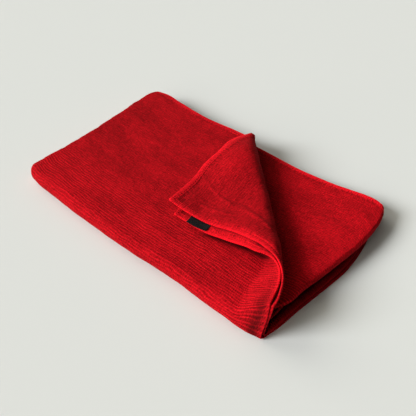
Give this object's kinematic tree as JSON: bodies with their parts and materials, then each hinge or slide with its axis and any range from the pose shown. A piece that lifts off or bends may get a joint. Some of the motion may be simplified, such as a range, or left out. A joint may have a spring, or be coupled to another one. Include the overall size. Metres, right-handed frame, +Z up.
{
  "type": "folded gauze scarf",
  "caption": "Long gauze scarf folded to a flat rectangular pile, with the corner of its top plies turned back to show the hems and a small blank woven label.",
  "frame": {"origin": "middle of the outline, on the underside that rests", "axes": "+X along the length, from the left folds to the end hems; +Y from the front fold to the long hems at the back; +Z up"},
  "size_m": [0.4158, 0.2607, 0.0571],
  "materials": {
    "red_gauze": "open slubby gauze weave with fine ribs along the length, matt",
    "black_satin": "woven satin label, blank"
  },
  "bodies": {
    "root": {"outer_ply": "red_gauze", "second_ply": "red_gauze", "third_ply": "red_gauze", "hidden_layers": "red_gauze", "fourth_ply": "red_gauze", "label": "black_satin"}
  },
  "joints": []
}
